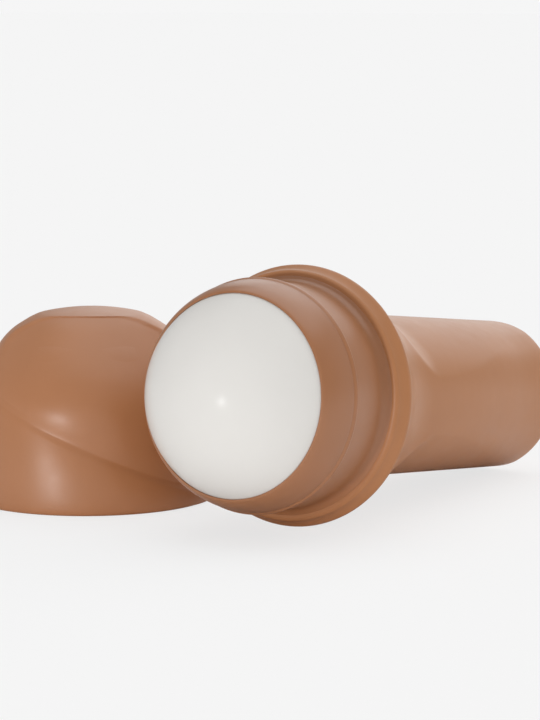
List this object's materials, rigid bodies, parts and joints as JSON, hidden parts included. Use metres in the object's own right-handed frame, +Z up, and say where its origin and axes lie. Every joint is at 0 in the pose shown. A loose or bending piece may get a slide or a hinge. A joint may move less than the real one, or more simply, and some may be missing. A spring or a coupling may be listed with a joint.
{
  "type": "roll-on bottle",
  "caption": "Roll-on bottle lying on its side with its ball in a flanged collar, round panelled body, and a domed push-on cap with a slanting skirt edge standing beside it.",
  "frame": {"origin": "middle of the footprint of bottle and cap together, on the surface they lie on", "axes": "+Z up, +Y from the ball towards the bottle's base, the cap on the -X side"},
  "size_m": [0.0862, 0.0994, 0.042],
  "materials": {
    "bottle_plastic": "satin brown",
    "housing_plastic": "satin brown",
    "ball_plastic": "satin white",
    "cap_plastic": "satin brown"
  },
  "bodies": {
    "bottle_body": {"bottle": "bottle_plastic", "ball_housing": "housing_plastic"},
    "ball": {"roller_ball": "ball_plastic"},
    "cap": {"cap": "cap_plastic"}
  },
  "joints": [
    {"name": "ball_roll", "type": "hinge", "parent": "bottle_body", "child": "ball", "pos_m": [0.02199, -0.0323, 0.02241], "axis": [1, 0, 0], "continuous": true},
    {"name": "cap_lift", "type": "slide", "parent": "bottle_body", "child": "cap", "axis": [0, 0, 1], "range_m": [0, 0.06]}
  ]
}
